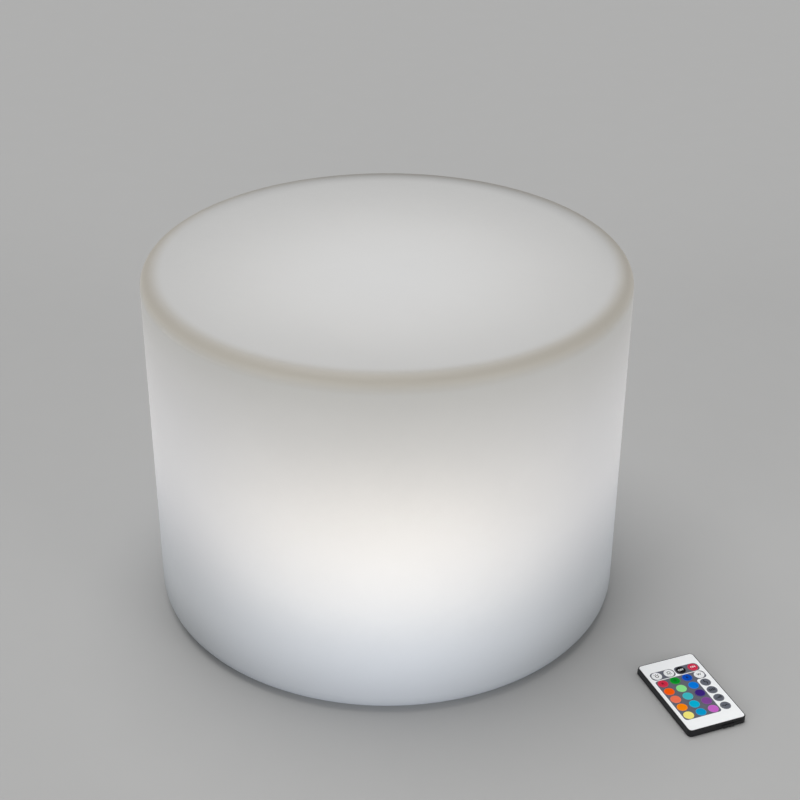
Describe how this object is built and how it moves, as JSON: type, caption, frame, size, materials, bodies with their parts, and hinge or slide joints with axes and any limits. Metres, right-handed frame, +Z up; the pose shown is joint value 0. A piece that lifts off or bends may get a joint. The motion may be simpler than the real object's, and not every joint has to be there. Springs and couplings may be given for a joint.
{
  "type": "led light-up stool",
  "caption": "Drum-shaped light-up stool of milky plastic, lit from its base by a battery light unit, with a flat infrared key remote beside it.",
  "frame": {"origin": "the drum's axis on the floor", "axes": "+Z up along the drum's axis, -Y the side that faces the viewer, +X to the viewer's right, where the remote lies"},
  "size_m": [0.4847, 0.4284, 0.305],
  "materials": {
    "milky_plastic": "satin, translucent, lit from inside",
    "white_plastic": "satin",
    "brass_insert": "turned",
    "screw_steel": "zinc plated",
    "seal_rubber": "matt",
    "cap_rubber": "matt",
    "reflector_white": "gloss white",
    "board_aluminium": "white solder mask",
    "lamp_phosphor": "yellow phosphor in a white body",
    "receiver_resin": "dark moulded resin",
    "lens_clear": "clear moulding",
    "cell_sleeve": "sleeved metal can",
    "strap_steel": "pressed strip",
    "board_green": "solder mask",
    "parts_black": "moulded bodies",
    "wire_red": "insulated wire",
    "window_clear": "clear moulding",
    "switch_black": "satin",
    "button_grey": "satin",
    "spring_steel": "wire",
    "pin_nickel": "nickel plated",
    "remote_black": "fine texture",
    "film_white": "printed film",
    "dome_steel": "plated",
    "emitter_clear": "clear resin",
    "coin_steel": "bright",
    "key_brighter": "embossed film",
    "key_dimmer": "embossed film",
    "key_off": "embossed film",
    "key_on": "embossed film",
    "key_red": "embossed film",
    "key_green": "embossed film",
    "key_blue": "embossed film",
    "key_white": "embossed film",
    "key_orange": "embossed film",
    "key_pale_green": "embossed film",
    "key_sky_blue": "embossed film",
    "key_flash": "embossed film",
    "key_salmon": "embossed film",
    "key_teal": "embossed film",
    "key_indigo": "embossed film",
    "key_strobe": "embossed film",
    "key_amber": "embossed film",
    "key_cyan": "embossed film",
    "key_purple": "embossed film",
    "key_fade": "embossed film",
    "key_yellow": "embossed film",
    "key_azure": "embossed film",
    "key_pink": "embossed film",
    "key_smooth": "embossed film"
  },
  "bodies": {
    "stool": {"shell": "milky_plastic", "thread_inserts": "brass_insert", "flange_screws": "screw_steel", "flange_seal": "seal_rubber", "light_unit_tray": "white_plastic", "reflector_plate": "reflector_white", "lamp_board": "board_aluminium", "lamp_chips": "lamp_phosphor", "ir_receiver": "receiver_resin", "lens": "lens_clear", "lens_seal": "seal_rubber", "housing_screws": "screw_steel", "battery_cells": "cell_sleeve", "battery_strap": "strap_steel", "battery_lead": "wire_red", "control_board": "board_green", "control_parts": "parts_black", "lamp_lead": "wire_red", "indicator_window": "window_clear", "switch_body": "switch_black", "switch_spring": "spring_steel", "panel_nuts": "screw_steel", "charge_jack": "switch_black", "jack_pin": "pin_nickel", "cap_anchor": "cap_rubber"},
    "button": {"power_button": "button_grey"},
    "port_cap": {"charge_port_cap": "cap_rubber"},
    "remote": {"remote_lower_case": "remote_black", "remote_upper_case": "remote_black", "overlay_film": "film_white", "keypad_board": "board_green", "dome_contacts": "dome_steel", "ir_emitter": "emitter_clear", "battery_contacts": "dome_steel"},
    "drawer": {"battery_drawer": "remote_black", "coin_cell": "coin_steel"},
    "button_brighter": {"key_brighter": "key_brighter"},
    "button_dimmer": {"key_dimmer": "key_dimmer"},
    "button_off": {"key_off": "key_off"},
    "button_on": {"key_on": "key_on"},
    "button_red": {"key_red": "key_red"},
    "button_green": {"key_green": "key_green"},
    "button_blue": {"key_blue": "key_blue"},
    "button_white": {"key_white": "key_white"},
    "button_orange": {"key_orange": "key_orange"},
    "button_pale_green": {"key_pale_green": "key_pale_green"},
    "button_sky_blue": {"key_sky_blue": "key_sky_blue"},
    "button_flash": {"key_flash": "key_flash"},
    "button_salmon": {"key_salmon": "key_salmon"},
    "button_teal": {"key_teal": "key_teal"},
    "button_indigo": {"key_indigo": "key_indigo"},
    "button_strobe": {"key_strobe": "key_strobe"},
    "button_amber": {"key_amber": "key_amber"},
    "button_cyan": {"key_cyan": "key_cyan"},
    "button_purple": {"key_purple": "key_purple"},
    "button_fade": {"key_fade": "key_fade"},
    "button_yellow": {"key_yellow": "key_yellow"},
    "button_azure": {"key_azure": "key_azure"},
    "button_pink": {"key_pink": "key_pink"},
    "button_smooth": {"key_smooth": "key_smooth"}
  },
  "joints": [
    {"name": "power_press", "type": "slide", "parent": "stool", "child": "button", "axis": [0, 0, 1], "range_m": [0, 0.0015], "stiffness_N_per_m": 600, "springref_m": -0.001, "deforming": ["switch_spring"]},
    {"name": "cap_swing", "type": "hinge", "parent": "stool", "child": "port_cap", "pos_m": [0.057, -0.024, 0.0076], "axis": [0, -1, 0], "range_deg": [0, 150]},
    {"name": "remote_lift", "type": "slide", "parent": "stool", "child": "remote", "axis": [0, 0, 1], "range_m": [0, 0.3]},
    {"name": "drawer_pull", "type": "slide", "parent": "remote", "child": "drawer", "axis": [0.3584, -0.9336, 0], "range_m": [0, 0.027]},
    {"name": "press_brighter", "type": "slide", "parent": "remote", "child": "button_brighter", "axis": [0, 0, -1], "range_m": [0, 0.00025], "stiffness_N_per_m": 400, "springref_m": -0.0005},
    {"name": "press_dimmer", "type": "slide", "parent": "remote", "child": "button_dimmer", "axis": [0, 0, -1], "range_m": [0, 0.00025], "stiffness_N_per_m": 400, "springref_m": -0.0005},
    {"name": "press_off", "type": "slide", "parent": "remote", "child": "button_off", "axis": [0, 0, -1], "range_m": [0, 0.00025], "stiffness_N_per_m": 400, "springref_m": -0.0005},
    {"name": "press_on", "type": "slide", "parent": "remote", "child": "button_on", "axis": [0, 0, -1], "range_m": [0, 0.00025], "stiffness_N_per_m": 400, "springref_m": -0.0005},
    {"name": "press_red", "type": "slide", "parent": "remote", "child": "button_red", "axis": [0, 0, -1], "range_m": [0, 0.00025], "stiffness_N_per_m": 400, "springref_m": -0.0005},
    {"name": "press_green", "type": "slide", "parent": "remote", "child": "button_green", "axis": [0, 0, -1], "range_m": [0, 0.00025], "stiffness_N_per_m": 400, "springref_m": -0.0005},
    {"name": "press_blue", "type": "slide", "parent": "remote", "child": "button_blue", "axis": [0, 0, -1], "range_m": [0, 0.00025], "stiffness_N_per_m": 400, "springref_m": -0.0005},
    {"name": "press_white", "type": "slide", "parent": "remote", "child": "button_white", "axis": [0, 0, -1], "range_m": [0, 0.00025], "stiffness_N_per_m": 400, "springref_m": -0.0005},
    {"name": "press_orange", "type": "slide", "parent": "remote", "child": "button_orange", "axis": [0, 0, -1], "range_m": [0, 0.00025], "stiffness_N_per_m": 400, "springref_m": -0.0005},
    {"name": "press_pale_green", "type": "slide", "parent": "remote", "child": "button_pale_green", "axis": [0, 0, -1], "range_m": [0, 0.00025], "stiffness_N_per_m": 400, "springref_m": -0.0005},
    {"name": "press_sky_blue", "type": "slide", "parent": "remote", "child": "button_sky_blue", "axis": [0, 0, -1], "range_m": [0, 0.00025], "stiffness_N_per_m": 400, "springref_m": -0.0005},
    {"name": "press_flash", "type": "slide", "parent": "remote", "child": "button_flash", "axis": [0, 0, -1], "range_m": [0, 0.00025], "stiffness_N_per_m": 400, "springref_m": -0.0005},
    {"name": "press_salmon", "type": "slide", "parent": "remote", "child": "button_salmon", "axis": [0, 0, -1], "range_m": [0, 0.00025], "stiffness_N_per_m": 400, "springref_m": -0.0005},
    {"name": "press_teal", "type": "slide", "parent": "remote", "child": "button_teal", "axis": [0, 0, -1], "range_m": [0, 0.00025], "stiffness_N_per_m": 400, "springref_m": -0.0005},
    {"name": "press_indigo", "type": "slide", "parent": "remote", "child": "button_indigo", "axis": [0, 0, -1], "range_m": [0, 0.00025], "stiffness_N_per_m": 400, "springref_m": -0.0005},
    {"name": "press_strobe", "type": "slide", "parent": "remote", "child": "button_strobe", "axis": [0, 0, -1], "range_m": [0, 0.00025], "stiffness_N_per_m": 400, "springref_m": -0.0005},
    {"name": "press_amber", "type": "slide", "parent": "remote", "child": "button_amber", "axis": [0, 0, -1], "range_m": [0, 0.00025], "stiffness_N_per_m": 400, "springref_m": -0.0005},
    {"name": "press_cyan", "type": "slide", "parent": "remote", "child": "button_cyan", "axis": [0, 0, -1], "range_m": [0, 0.00025], "stiffness_N_per_m": 400, "springref_m": -0.0005},
    {"name": "press_purple", "type": "slide", "parent": "remote", "child": "button_purple", "axis": [0, 0, -1], "range_m": [0, 0.00025], "stiffness_N_per_m": 400, "springref_m": -0.0005},
    {"name": "press_fade", "type": "slide", "parent": "remote", "child": "button_fade", "axis": [0, 0, -1], "range_m": [0, 0.00025], "stiffness_N_per_m": 400, "springref_m": -0.0005},
    {"name": "press_yellow", "type": "slide", "parent": "remote", "child": "button_yellow", "axis": [0, 0, -1], "range_m": [0, 0.00025], "stiffness_N_per_m": 400, "springref_m": -0.0005},
    {"name": "press_azure", "type": "slide", "parent": "remote", "child": "button_azure", "axis": [0, 0, -1], "range_m": [0, 0.00025], "stiffness_N_per_m": 400, "springref_m": -0.0005},
    {"name": "press_pink", "type": "slide", "parent": "remote", "child": "button_pink", "axis": [0, 0, -1], "range_m": [0, 0.00025], "stiffness_N_per_m": 400, "springref_m": -0.0005},
    {"name": "press_smooth", "type": "slide", "parent": "remote", "child": "button_smooth", "axis": [0, 0, -1], "range_m": [0, 0.00025], "stiffness_N_per_m": 400, "springref_m": -0.0005}
  ]
}
